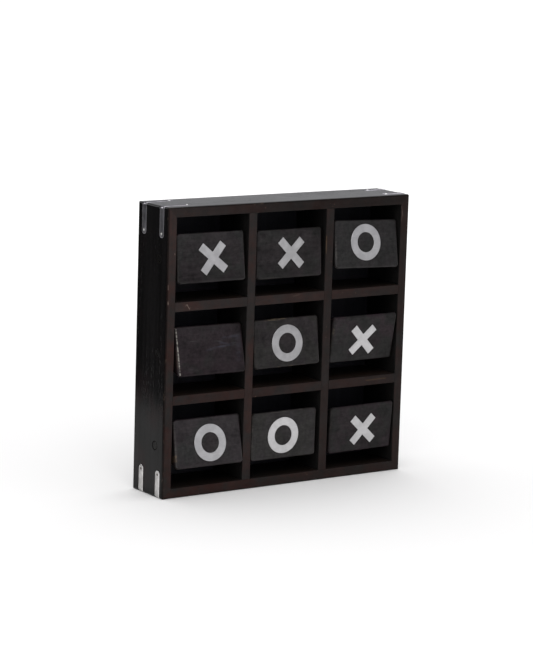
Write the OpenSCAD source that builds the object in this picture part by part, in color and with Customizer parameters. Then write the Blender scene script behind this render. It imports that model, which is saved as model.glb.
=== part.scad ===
// Tic tac toe set: a shallow wooden case with nine cells. A triangular block
// turns on a dowel in each cell and shows a cross, a ring or a plain face.
// Millimetres. X runs to the right seen from the front, the front faces -Y,
// Z is up. The origin is the middle of the underside.

/* [Case] */
// Overall width of the case
case_w = 301.2; // [280:0.2:340]
// Overall height of the case
case_h = 299.2; // [280:0.2:340]
// Overall depth of the case, front to back
case_d = 57.6; // [54:0.2:66]
// Thickness of the four side boards
board_t = 10.4; // [8:0.1:11]
// Thickness of the dividers between cells
divider_t = 9.8; // [7:0.1:11]
// Thickness of the back panel
panel_t = 2.8; // [2.4:0.1:4]
// Width of the rebate that holds the back panel
rebate_w = 4; // [3:0.1:4.5]
// Depth of the housing that each divider end sits in
housing = 2.5; // [1.5:0.1:3.5]
// Distance the housings stop short of the front edge
housing_stop = 8; // [5:0.5:12]
// Radius along the outer front and back edges
edge_r = 2.2; // [1:0.1:3]
// Radius of the four outer corners, seen from the front
corner_r = 2.2; // [2:0.1:4]
// Radius that eases the inner front edges
ease_r = 0.7; // [0.3:0.1:1]

/* [Blocks] */
// Gap between each end of a centred block and its cell wall
end_gap = 2.4; // [2:0.1:4]
// Width of one block face, edge to edge after rounding
block_face = 50.9; // [44:0.1:52]
// Radius along a block's three long edges
block_r = 2.2; // [1.5:0.1:3.5]
// Radius where a block's faces meet its ends
rim_r = 3.2; // [1.5:0.1:4]
// Radius that rounds off the three corners at each end of a block
turned_r = 4.6; // [2:0.1:6]
// Depth of the dowel axis behind the case front
axis_back = 16.2; // [15:0.1:20]
// Radius of the dowel
dowel_r = 4.98; // [3.5:0.01:5.5]
// Radial clearance between dowel and block bore
bore_gap = 0.07; // [0.03:0.01:0.1]
// How far the dowel ends sit below the case sides
dowel_sunk = 0.3; // [0:0.1:1]

/* [Marks] */
// Overall length of each arm of a cross
cross_l = 37.8; // [30:0.1:39]
// Width of each arm of a cross
cross_w = 8.6; // [5:0.1:10]
// Outer diameter of a ring
ring_d = 38.4; // [30:0.1:39]
// Inner diameter of a ring
ring_hole = 21.3; // [14:0.1:24]
// Depth of the pocket a mark is let into
pocket = 1.5; // [1:0.1:2]
// Height a mark stands above the block face
mark_proud = 0.12; // [0.05:0.01:0.3]
// Gap between a mark and the wall of its pocket
mark_gap = 0.12; // [0.05:0.01:0.2]

/* [Shown faces] */
// Face shown by the top left block
show_top_left = "x"; // [x, o, blank]
// Face shown by the top centre block
show_top_centre = "x"; // [x, o, blank]
// Face shown by the top right block
show_top_right = "o"; // [x, o, blank]
// Face shown by the middle left block
show_middle_left = "blank"; // [x, o, blank]
// Face shown by the middle centre block
show_middle_centre = "o"; // [x, o, blank]
// Face shown by the middle right block
show_middle_right = "x"; // [x, o, blank]
// Face shown by the bottom left block
show_bottom_left = "o"; // [x, o, blank]
// Face shown by the bottom centre block
show_bottom_centre = "o"; // [x, o, blank]
// Face shown by the bottom right block
show_bottom_right = "x"; // [x, o, blank]

/* [Handmade variation] */
// Resting tilt of the top row, left to right; positive looks up
tilt_top = [7, 3.5, 10]; // [-25:0.5:25]
// Resting tilt of the middle row, left to right
tilt_middle = [13.5, 6.5, -9.5]; // [-25:0.5:25]
// Resting tilt of the bottom row, left to right
tilt_bottom = [11, -0.5, -4.5]; // [-25:0.5:25]
// Sideways place of the top row's blocks on their dowel
shift_top = [-0.8, -1.4, 0.4]; // [-1.8:0.1:1.8]
// Sideways place of the middle row's blocks
shift_middle = [1.1, -1.4, 0.2]; // [-1.8:0.1:1.8]
// Sideways place of the bottom row's blocks
shift_bottom = [1.5, -1.5, 1.6]; // [-1.8:0.1:1.8]
// Height of the top row's blocks over their dowel, from bores drilled off centre
lift_top = [-1.2, -2, 0.8]; // [-2.5:0.1:2.5]
// Height of the middle row's blocks over their dowel
lift_middle = [-2, 0.1, 1.1]; // [-2.5:0.1:2.5]
// Height of the bottom row's blocks over their dowel
lift_bottom = [-1, 0.1, -1.2]; // [-2.5:0.1:2.5]
// Slope of the top row's blocks on their dowel; positive drops the right end
slope_top = [0, 0, 1.9]; // [-2:0.1:2]
// Slope of the middle row's blocks on their dowel
slope_middle = [0.5, -0.4, 0]; // [-2:0.1:2]
// Slope of the bottom row's blocks on their dowel
slope_bottom = [0, 0, -0.6]; // [-2:0.1:2]
// Turn of the shown marks in the top row, degrees
turn_top = [4.5, -1.3, 0]; // [-6:0.1:6]
// Turn of the shown marks in the middle row
turn_middle = [0, 0, -1.1]; // [-6:0.1:6]
// Turn of the shown marks in the bottom row
turn_bottom = [0, 0, 1.8]; // [-6:0.1:6]
// Sideways place of the shown marks, top row
mark_x_top = [2, 1.6, -1.4]; // [-2.5:0.1:2.5]
// Sideways place of the shown marks, middle row
mark_x_middle = [0, 0.4, -0.8]; // [-2.5:0.1:2.5]
// Sideways place of the shown marks, bottom row
mark_x_bottom = [1.9, -1.2, 2]; // [-2.5:0.1:2.5]
// Height of the shown marks on the face, top row
mark_z_top = [-1, 0.6, 1.6]; // [-2:0.1:2]
// Height of the shown marks on the face, middle row
mark_z_middle = [0, -0.9, -1.6]; // [-2:0.1:2]
// Height of the shown marks on the face, bottom row
mark_z_bottom = [-1.4, -0.6, -1.7]; // [-2:0.1:2]

/* [Corner strips] */
// Width of a metal corner strip
strip_w = 8.0; // [7:0.1:11]
// Thickness of a strip
strip_t = 1.2; // [0.8:0.1:1.6]
// Height a strip stands above the wood on the sides and the top
strip_proud = 0.35; // [0.1:0.05:0.5]
// Leg on the case side: top left, top right, bottom left, bottom right
leg_side = [32, 31, 28.5, 29]; // [24:0.5:36]
// Leg on the case top or bottom, in the same order
leg_flat = [33, 26.5, 31, 30]; // [24:0.5:36]
// Front strip's middle, measured back from the case front, same order
strip_front = [12, 12, 9.7, 9.7]; // [9:0.1:14]
// Back strip's middle, measured back from the case front, same order
strip_back = [45.5, 45.5, 41.4, 41.4]; // [38:0.1:47]

/* [Nails] */
// Radius of a strip nail's head
nail_head_r = 1.35; // [1:0.05:1.8]
// Length of a strip nail under its head
nail_l = 8; // [5:0.5:9]
// Distance from a strip's end to its nail
nail_in = 4; // [3.5:0.1:6]
// Length of a back panel pin
pin_l = 9; // [6:0.5:14]

/* [Hidden] */

$fn = 64;
overcut = 1;                        // how far cutters run past the wood
lap = 0.1;                          // small overlap between joined shapes

// Rows, columns, case corners, and the two strips on a corner
TOP = 0;
MIDDLE = 1;
BOTTOM = 2;
LEFT = 0;
CENTRE = 1;
RIGHT = 2;
TOP_LEFT = 0;
TOP_RIGHT = 1;
BOTTOM_LEFT = 2;
BOTTOM_RIGHT = 3;
FRONT = 0;
BACK = 1;

// Case
inner_w = case_w - 2 * board_t;
inner_h = case_h - 2 * board_t;
// Divider spacing, kept to whole tenths so slots and dividers share planes
pitch_x = round((inner_w + divider_t) / 0.3) / 10;
pitch_z = round((inner_h + divider_t) / 0.3) / 10;
front_y = -case_d / 2;
panel_y = case_d / 2 - panel_t;     // front face of the back panel
divider_d = case_d - panel_t;
housing_y = front_y + housing_stop;
housing_d = divider_d - housing_stop;
axis_y = front_y + axis_back;
back_edge_r = edge_r * 0.8;

// Blocks
cell_w = pitch_x - divider_t;
block_l = cell_w - 2 * end_gap;
slack = end_gap - 0.5;              // furthest a block may slide either way
// Sharp-cornered triangle whose rounded face is block_face wide
tri_side = block_face + 2 * block_r * (sqrt(3) - 1);
tri_in = tri_side / (2 * sqrt(3));  // axis to face
tri_dir = [120, -120, 0];           // corners: front top, front bottom, back

// Strips, nails and pins
strip_gap = 0.05;                   // recess wall to strip
nail_gap = 0.02;                    // radial clearance of nail and pin holes
nail_r = 0.65;
nail_head_t = 0.5;
nail_dome_r = 2.3;
nail_dome_top = 0.45;               // top of the domed head
sunk_head_in = 0.55;                // strip face to the underside of a sunk head
sunk_hole_h = 1;
pin_r = 0.6;
pin_head_r = 1.1;
pin_head_t = 0.5;
pin_pitch_x = case_w * 0.34;
pin_pitch_z = case_h * 0.33;

// Largest drift of the marks on hidden faces
hidden_turn = 1.2;
hidden_x = 0.9;
hidden_z = 0.8;

// Tables indexed [row][col], rows from the top, columns from the left
shown = [[show_top_left, show_top_centre, show_top_right],
  [show_middle_left, show_middle_centre, show_middle_right],
  [show_bottom_left, show_bottom_centre, show_bottom_right]];
tilts = [tilt_top, tilt_middle, tilt_bottom];
shifts = [shift_top, shift_middle, shift_bottom];
lifts = [lift_top, lift_middle, lift_bottom];
slopes = [slope_top, slope_middle, slope_bottom];
turns = [turn_top, turn_middle, turn_bottom];
marks_x = [mark_x_top, mark_x_middle, mark_x_bottom];
marks_z = [mark_z_top, mark_z_middle, mark_z_bottom];

function cell_x(col) = (col - 1) * pitch_x;
function cell_z(row) = case_h / 2 + (1 - row) * pitch_z;
// Middle of a divider; side is -1 for left or lower, 1 for right or upper.
function divider_x(side) = side * pitch_x / 2;
function divider_z(side) = case_h / 2 + side * pitch_z / 2;

// ---- shared shapes ----

// Rectangle from [0, 0] to [width, depth] with rounded corners: radii = [near
// left, near right, far right, far left]; 0 leaves a corner square.
module soft_rect(width, depth, radii) {
  near_left = radii[0];
  near_right = radii[1];
  far_right = radii[2];
  far_left = radii[3];
  centres = [[near_left, near_left], [width - near_right, near_right],
    [width - far_right, depth - far_right], [far_left, depth - far_left]];
  polygon([[near_left, 0], [width - near_right, 0],
    [width, near_right], [width, depth - far_right],
    [width - far_right, depth], [far_left, depth],
    [0, depth - far_left], [0, near_left]]);
  for (n = [0:3])
    if (radii[n] > 0) translate(centres[n]) circle(radii[n]);
}

// Rod on a row's dowel axis, centred on x = 0.
module row_rod(row, length) {
  translate([-length / 2, axis_y, cell_z(row)]) rotate([0, 90, 0])
    cylinder(r = dowel_r, h = length);
}

// Slab that fills the back panel's rebate.
module panel_slab(thickness) {
  translate([-inner_w / 2 - rebate_w, panel_y, board_t - rebate_w])
    cube([inner_w + 2 * rebate_w, thickness, inner_h + 2 * rebate_w]);
}

// ---- corner strips and their nails ----

function is_top(corner) = corner < BOTTOM_LEFT;
function is_left(corner) = corner % 2 == 0;
// The bottom strips are let in flush so the case stands flat.
function flat_proud(corner) = is_top(corner) ? strip_proud : 0;
function strip_y(corner, place) =
  front_y + (place == FRONT ? strip_front : strip_back)[corner];

// Puts a shape drawn with its wood corner at the origin, the case side along
// +Z and the case top or bottom along +X, onto a case corner.
module at_corner(corner) {
  translate([is_left(corner) ? -case_w / 2 : case_w / 2, 0, is_top(corner) ? case_h : 0])
    mirror([is_left(corner) ? 0 : 1, 0, 0])
      mirror([0, 0, is_top(corner) ? 1 : 0]) children();
}

// Leg lying on the case side from z = start, with a round end.
module side_leg(proud, length, width, start) {
  translate([-proud, 0, 0]) rotate([90, 0, 90]) linear_extrude(strip_t) {
    translate([-width / 2, start]) square([width, length - width / 2 - start]);
    translate([0, length - width / 2]) circle(width / 2);
  }
}

// Leg lying on the case top or bottom from x = start, with a round end.
module flat_leg(proud, length, width, start) {
  translate([0, 0, -proud]) linear_extrude(strip_t) {
    translate([start, -width / 2]) square([length - width / 2 - start, width]);
    translate([length - width / 2, 0]) circle(width / 2);
  }
}

// One bent strip; grow widens and lengthens it for its recess.
module strip_body(corner, place, grow = 0) {
  width = strip_w + 2 * grow;
  bend_r = corner_r + strip_proud;
  bend_x = bend_r - strip_proud;
  bend_z = bend_r - flat_proud(corner);
  at_corner(corner) translate([0, strip_y(corner, place), 0]) {
    side_leg(strip_proud, leg_side[corner] + grow, width, bend_z);
    flat_leg(flat_proud(corner), leg_flat[corner] + grow, width, bend_x);
    translate([bend_x, 0, bend_z]) rotate([90, 0, 0])
      linear_extrude(width, center = true) difference() {
        intersection() {
          circle(bend_r);
          translate([-bend_r, -bend_r]) square(bend_r);
        }
        circle(bend_r - strip_t);
      }
  }
}

// Nails and pins take gap = 0 for the part itself; a larger gap gives its hole.

// Nail with a domed head up along +Z; the underside of the head is at z = 0.
module nail(gap = 0) {
  translate([0, 0, -nail_l])
    cylinder(r = nail_r + gap, h = nail_l + (gap > 0 ? strip_t : lap));
  if (gap == 0) intersection() {
    cylinder(r = nail_head_r, h = nail_head_t);
    translate([0, 0, nail_dome_top - nail_dome_r]) sphere(nail_dome_r);
  }
}

// Flat-headed nail for under the case, sunk in the strip so nothing stands out.
module sunk_nail(gap = 0) {
  translate([0, 0, -nail_l]) cylinder(r = nail_r + gap, h = nail_l + lap);
  cylinder(r = nail_head_r + gap, h = gap > 0 ? sunk_hole_h : nail_head_t);
}

// Both nails of one strip.
module strip_nail_pair(corner, place, gap = 0) {
  at_corner(corner) translate([0, strip_y(corner, place), 0]) {
    translate([-strip_proud, 0, leg_side[corner] - nail_in]) rotate([0, -90, 0]) nail(gap);
    translate([leg_flat[corner] - nail_in, 0, -flat_proud(corner)]) rotate([0, 180, 0])
      if (is_top(corner)) nail(gap);
      else translate([0, 0, -sunk_head_in]) sunk_nail(gap);
  }
}

// One panel pin along -Y with its head flush at the case back.
module pin(gap = 0) {
  rotate([90, 0, 0]) {
    cylinder(r = pin_r + gap, h = pin_l);
    translate([0, 0, -gap]) cylinder(r = pin_head_r + gap, h = pin_head_t + gap);
  }
}

// Every panel pin: three along each board, through the panel in its rebate.
module pins(gap = 0) {
  for (side = [-1, 1], step = [-1:1]) {
    translate([step * pin_pitch_x, case_d / 2, case_h / 2 + side * (inner_h + rebate_w) / 2])
      pin(gap);
    translate([side * (inner_w + rebate_w) / 2, case_d / 2, case_h / 2 + step * pin_pitch_z])
      pin(gap);
  }
}

module strip(corner, place) color([0.62, 0.62, 0.63]) difference() {
  strip_body(corner, place);
  strip_nail_pair(corner, place, nail_gap);
}
module strip_nails() color([0.55, 0.54, 0.52])
  for (corner = [0:3], place = [FRONT, BACK]) strip_nail_pair(corner, place);
module panel_pins() color([0.45, 0.42, 0.38]) pins();

// ---- case ----

// A mitred board lying along X with its outer face down at z = 0.
module mitred_board(length) {
  mask_h = 40;                      // only needs to be taller than the board
  intersection() {
    rotate([90, 0, 0]) linear_extrude(case_d, center = true)
      polygon([[-length / 2, 0], [length / 2, 0],
        [length / 2 - board_t, board_t], [-length / 2 + board_t, board_t]]);
    translate([length / 2, front_y, 0]) rotate([0, -90, 0]) linear_extrude(length)
      soft_rect(board_t, case_d, [edge_r, ease_r, 0, back_edge_r]);
    rotate([90, 0, 0]) linear_extrude(case_d, center = true)
      translate([-length / 2, 0]) soft_rect(length, mask_h, [corner_r, corner_r, 0, 0]);
  }
}

// Everything that is cut out of the four boards.
module board_cuts() {
  panel_slab(panel_t + overcut);
  // stopped housings for the divider ends
  for (side = [-1, 1]) {
    translate([-inner_w / 2 - housing, housing_y, divider_z(side) - divider_t / 2])
      cube([inner_w + 2 * housing, housing_d, divider_t]);
    translate([divider_x(side) - divider_t / 2, housing_y, board_t - housing])
      cube([divider_t, housing_d, inner_h + 2 * housing]);
  }
  for (row = [0:2]) row_rod(row, case_w + 2 * overcut);
  for (corner = [0:3], place = [FRONT, BACK]) {
    strip_body(corner, place, strip_gap);
    strip_nail_pair(corner, place, nail_gap);
  }
  pins(nail_gap);
}

// Upright board; side is -1 for left, 1 for right.
module side_board(side) {
  difference() {
    translate([side * case_w / 2, 0, case_h / 2]) rotate([0, -side * 90, 0])
      mitred_board(case_h);
    board_cuts();
  }
}

module frame_left() color([0.13, 0.10, 0.09]) side_board(-1);
module frame_right() color([0.13, 0.10, 0.09]) side_board(1);
module frame_top() color([0.15, 0.11, 0.10]) difference() {
  translate([0, 0, case_h]) rotate([0, 180, 0]) mitred_board(case_w);
  board_cuts();
}
module frame_bottom() color([0.15, 0.11, 0.10]) difference() {
  mitred_board(case_w);
  board_cuts();
}

// Cross-section shared by all dividers, eased at the front edges.
module divider_section() {
  soft_rect(divider_t, divider_d, [ease_r, ease_r, 0, 0]);
}

// Upright divider, slotted from the back half way.
module divider_vertical(side) {
  translate([divider_x(side), 0, 0]) difference() {
    union() {
      translate([-divider_t / 2, front_y, board_t]) linear_extrude(inner_h) divider_section();
      translate([-divider_t / 2, housing_y, board_t - housing])
        cube([divider_t, housing_d, inner_h + 2 * housing]);
    }
    for (level = [-1, 1])
      translate([-divider_t, front_y + divider_d / 2, divider_z(level) - divider_t / 2])
        cube([2 * divider_t, divider_d, divider_t]);
    for (row = [0:2]) row_rod(row, 2 * divider_t);
  }
}
module divider_vertical_left() color([0.17, 0.11, 0.10]) divider_vertical(-1);
module divider_vertical_right() color([0.17, 0.11, 0.10]) divider_vertical(1);

// Level divider, slotted from the front half way.
module divider_horizontal(level) {
  translate([0, 0, divider_z(level)]) difference() {
    union() {
      translate([inner_w / 2, front_y, -divider_t / 2]) rotate([0, -90, 0])
        linear_extrude(inner_w) divider_section();
      translate([-inner_w / 2 - housing, housing_y, -divider_t / 2])
        cube([inner_w + 2 * housing, housing_d, divider_t]);
    }
    for (side = [-1, 1])
      translate([divider_x(side) - divider_t / 2, front_y - overcut, -divider_t])
        cube([divider_t, divider_d / 2 + overcut, 2 * divider_t]);
  }
}
module divider_horizontal_upper() color([0.18, 0.12, 0.10]) divider_horizontal(1);
module divider_horizontal_lower() color([0.18, 0.12, 0.10]) divider_horizontal(-1);

module back_panel() color([0.10, 0.10, 0.11]) difference() {
  panel_slab(panel_t);
  pins(nail_gap);
}

// Dowel through one row, held in both side boards and both dividers.
module axle(row) color([0.16, 0.13, 0.11]) row_rod(row, case_w - 2 * dowel_sunk);
module axle_top() axle(TOP);
module axle_middle() axle(MIDDLE);
module axle_bottom() axle(BOTTOM);

// ---- blocks ----

// Point in the Y-Z plane towards triangle corner n; one face is towards -Y.
function tri_at(n, reach) = [reach * cos(tri_dir[n]), reach * sin(tri_dir[n])];

// Slab along X, turned about X, whose front face meets both ends in rounded
// rims. The block is where three of them meet.
module rimmed_slab(angle) {
  rotate([angle, 0, 0]) linear_extrude(8 * tri_in, center = true)
    translate([-block_l / 2, -tri_in]) soft_rect(block_l, 4 * tri_in, [rim_r, rim_r, 0, 0]);
}

// Round bar along X just larger than a block, with softly turned ends.
module turned_bar() {
  bar_r = 2 * tri_in - block_r + lap;
  rotate([0, 90, 0]) rotate_extrude() translate([0, -block_l / 2 - lap])
    soft_rect(bar_r, block_l + 2 * lap, [0, turned_r, turned_r, 0]);
}

// Triangular prism along X with rounded edges, end rims and corners.
module soft_prism() {
  centre_reach = 2 * (tri_in - block_r);    // axis to the centre of an edge radius
  intersection() {
    rotate([90, 0, 90]) linear_extrude(block_l + 4 * overcut, center = true) {
      polygon([for (n = [0:2], spread = [-60, 60])
        tri_at(n, centre_reach)
          + block_r * [cos(tri_dir[n] + spread), sin(tri_dir[n] + spread)]]);
      for (n = [0:2]) translate(tri_at(n, centre_reach)) circle(block_r);
    }
    rimmed_slab(0);
    rimmed_slab(120);
    rimmed_slab(-120);
    turned_bar();
  }
}

// Cross and ring outlines, grown for the pockets.
module cross_outline(grow = 0) {
  for (angle = [45, -45])
    rotate(angle) square([cross_l + 2 * grow, cross_w + 2 * grow], center = true);
}
module ring_outline(grow = 0) {
  difference() {
    circle(ring_d / 2 + grow);
    circle(ring_hole / 2 - grow);
  }
}

// Angle of a face round the block, counted about X from the cross face.
function face_angle(face) = face == "x" ? 0 : face == "o" ? 120 : -120;

// A shown mark takes its place from the tables. Hidden ones drift a little;
// the angle factors only scatter the drift from cell to cell.
function is_shown(row, col, face) = face == shown[row][col];
function mark_turn(row, col, face) = is_shown(row, col, face) ? turns[row][col]
  : hidden_turn * sin(97 * row + 151 * col + 40);
function mark_x(row, col, face) = is_shown(row, col, face) ? marks_x[row][col]
  : hidden_x * sin(131 * row + 77 * col);
function mark_z(row, col, face) = is_shown(row, col, face) ? marks_z[row][col]
  : hidden_z * cos(113 * row + 59 * col);

// Children are drawn in the plane of a face, seen from outside, and extruded
// from pocket depth to the given height above the face.
module on_face(row, col, face, height) {
  rotate([face_angle(face), 0, 0])
    translate([mark_x(row, col, face), -tri_in + pocket, mark_z(row, col, face)])
      rotate([90, 0, 0]) rotate(mark_turn(row, col, face))
        linear_extrude(pocket + height) children();
}

// Puts a block's own shapes in its cell with the shown face to the front.
module in_cell(row, col) {
  shift = max(-slack, min(slack, shifts[row][col]));
  translate([cell_x(col) + shift, axis_y, cell_z(row) + lifts[row][col]])
    rotate([-tilts[row][col] - face_angle(shown[row][col]), slopes[row][col], 0])
      children();
}

// The bore follows the dowel, not the block's own middle.
module block(row, col) {
  difference() {
    in_cell(row, col) soft_prism();
    translate([cell_x(col), axis_y, cell_z(row)]) rotate([0, 90, 0])
      cylinder(r = dowel_r + bore_gap, h = cell_w, center = true);
    in_cell(row, col) on_face(row, col, "x", overcut) cross_outline(mark_gap);
    in_cell(row, col) on_face(row, col, "o", overcut) ring_outline(mark_gap);
  }
}
module block_top_left() color([0.19, 0.18, 0.18]) block(TOP, LEFT);
module block_top_centre() color([0.18, 0.18, 0.18]) block(TOP, CENTRE);
module block_top_right() color([0.19, 0.18, 0.18]) block(TOP, RIGHT);
module block_middle_left() color([0.20, 0.18, 0.19]) block(MIDDLE, LEFT);
module block_middle_centre() color([0.18, 0.18, 0.18]) block(MIDDLE, CENTRE);
module block_middle_right() color([0.20, 0.19, 0.19]) block(MIDDLE, RIGHT);
module block_bottom_left() color([0.20, 0.19, 0.19]) block(BOTTOM, LEFT);
module block_bottom_centre() color([0.19, 0.19, 0.18]) block(BOTTOM, CENTRE);
module block_bottom_right() color([0.20, 0.19, 0.19]) block(BOTTOM, RIGHT);

module x_inlay(row, col) color([0.80, 0.81, 0.82])
  in_cell(row, col) on_face(row, col, "x", mark_proud) cross_outline();
module o_inlay(row, col) color([0.80, 0.81, 0.82])
  in_cell(row, col) on_face(row, col, "o", mark_proud) ring_outline();

// ---- nodes ----

frame_left();
frame_right();
frame_top();
frame_bottom();
divider_vertical_left();
divider_vertical_right();
divider_horizontal_upper();
divider_horizontal_lower();
back_panel();
axle_top();
axle_middle();
axle_bottom();
block_top_left();
block_top_centre();
block_top_right();
block_middle_left();
block_middle_centre();
block_middle_right();
block_bottom_left();
block_bottom_centre();
block_bottom_right();
x_inlay(TOP, LEFT);  // x_inlay_top_left
x_inlay(TOP, CENTRE);  // x_inlay_top_centre
x_inlay(TOP, RIGHT);  // x_inlay_top_right
x_inlay(MIDDLE, LEFT);  // x_inlay_middle_left
x_inlay(MIDDLE, CENTRE);  // x_inlay_middle_centre
x_inlay(MIDDLE, RIGHT);  // x_inlay_middle_right
x_inlay(BOTTOM, LEFT);  // x_inlay_bottom_left
x_inlay(BOTTOM, CENTRE);  // x_inlay_bottom_centre
x_inlay(BOTTOM, RIGHT);  // x_inlay_bottom_right
o_inlay(TOP, LEFT);  // o_inlay_top_left
o_inlay(TOP, CENTRE);  // o_inlay_top_centre
o_inlay(TOP, RIGHT);  // o_inlay_top_right
o_inlay(MIDDLE, LEFT);  // o_inlay_middle_left
o_inlay(MIDDLE, CENTRE);  // o_inlay_middle_centre
o_inlay(MIDDLE, RIGHT);  // o_inlay_middle_right
o_inlay(BOTTOM, LEFT);  // o_inlay_bottom_left
o_inlay(BOTTOM, CENTRE);  // o_inlay_bottom_centre
o_inlay(BOTTOM, RIGHT);  // o_inlay_bottom_right
strip(TOP_LEFT, FRONT);  // strip_top_left_front
strip(TOP_LEFT, BACK);  // strip_top_left_back
strip(TOP_RIGHT, FRONT);  // strip_top_right_front
strip(TOP_RIGHT, BACK);  // strip_top_right_back
strip(BOTTOM_LEFT, FRONT);  // strip_bottom_left_front
strip(BOTTOM_LEFT, BACK);  // strip_bottom_left_back
strip(BOTTOM_RIGHT, FRONT);  // strip_bottom_right_front
strip(BOTTOM_RIGHT, BACK);  // strip_bottom_right_back
strip_nails();
panel_pins();
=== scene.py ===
import bpy, bmesh, math
from mathutils import Vector, Matrix


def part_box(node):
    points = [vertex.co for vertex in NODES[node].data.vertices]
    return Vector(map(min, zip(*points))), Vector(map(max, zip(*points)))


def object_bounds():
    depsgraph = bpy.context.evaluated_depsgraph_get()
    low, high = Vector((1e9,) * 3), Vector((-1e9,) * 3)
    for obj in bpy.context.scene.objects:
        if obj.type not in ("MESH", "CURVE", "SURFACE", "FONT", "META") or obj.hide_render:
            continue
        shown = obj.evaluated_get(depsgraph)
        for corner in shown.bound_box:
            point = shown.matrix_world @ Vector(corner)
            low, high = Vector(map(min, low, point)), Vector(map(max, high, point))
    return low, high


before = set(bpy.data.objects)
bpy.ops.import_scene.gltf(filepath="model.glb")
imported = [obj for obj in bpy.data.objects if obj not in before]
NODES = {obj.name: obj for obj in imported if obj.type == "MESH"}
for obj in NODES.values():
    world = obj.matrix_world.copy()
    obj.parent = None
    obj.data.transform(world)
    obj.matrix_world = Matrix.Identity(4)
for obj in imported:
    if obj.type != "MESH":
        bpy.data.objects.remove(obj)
CAD_BOX = [[float(c) for c in v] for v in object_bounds()]
ROWS = ("top", "middle", "bottom")
COLS = ("left", "centre", "right")

scene = bpy.context.scene
scene.view_settings.view_transform = "Standard"
scene.view_settings.look = "None"
scene.view_settings.exposure = 0.0
scene.view_settings.gamma = 1.0


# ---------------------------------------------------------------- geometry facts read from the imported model
def node_box(n):
    lo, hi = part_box(n)
    return lo, hi


case_lo = Vector([min(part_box(n)[0][i] for n in ("frame_left", "frame_right", "frame_top", "frame_bottom")) for i in range(3)])
case_hi = Vector([max(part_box(n)[1][i] for n in ("frame_left", "frame_right", "frame_top", "frame_bottom")) for i in range(3)])
FRONT = case_lo.y
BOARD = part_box("frame_left")[1].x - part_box("frame_left")[0].x


def block_facts(r, c):
    """Centre, axis, half length, axis-to-face distance and outward face normals of a block at rest, from its mesh."""
    o = NODES[f"block_{r}_{c}"]
    lo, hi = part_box(f"block_{r}_{c}")
    rough = (lo + hi) / 2
    groups = {}
    for p in o.data.polygons:
        n = p.normal
        if abs(n.x) > 0.06 or (p.center - rough).dot(n) < 0.011:
            continue
        key = round(math.degrees(math.atan2(n.z, n.y)))
        g = groups.setdefault(key, [0.0, Vector(), -1.0])
        g[0] += p.area
        g[1] += n * p.area
        g[2] = max(g[2], p.center.dot(n))
    picked = []
    for g in sorted(groups.values(), key=lambda g: -g[0]):
        n = g[1].normalized()
        if all(n.dot(m) < 0.5 for m, _ in picked):
            picked.append((n, g[2]))
        if len(picked) == 3:
            break
    normals = [n for n, _ in picked]
    axis = normals[0].cross(normals[1]).normalized()
    if axis.x < 0:
        axis = -axis
    e1 = normals[0]
    e2 = axis.cross(e1)
    sol = Matrix([(n.dot(e1), n.dot(e2), 1.0) for n in normals]).inverted() @ Vector([d for _, d in picked])
    along = [v.co.dot(axis) for v in o.data.vertices]
    centre = e1 * sol[0] + e2 * sol[1] + axis * ((min(along) + max(along)) / 2)
    half = (max(along) - min(along)) / 2
    shown = min(range(3), key=lambda i: normals[i].y)
    rest = [i for i in range(3) if i != shown]
    upper = max(rest, key=lambda i: normals[i].z)
    lower = min(rest, key=lambda i: normals[i].z)
    return dict(centre=centre, axis=axis, half=half, apothem=sol[2], normals=[normals[shown], normals[upper], normals[lower]])


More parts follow.
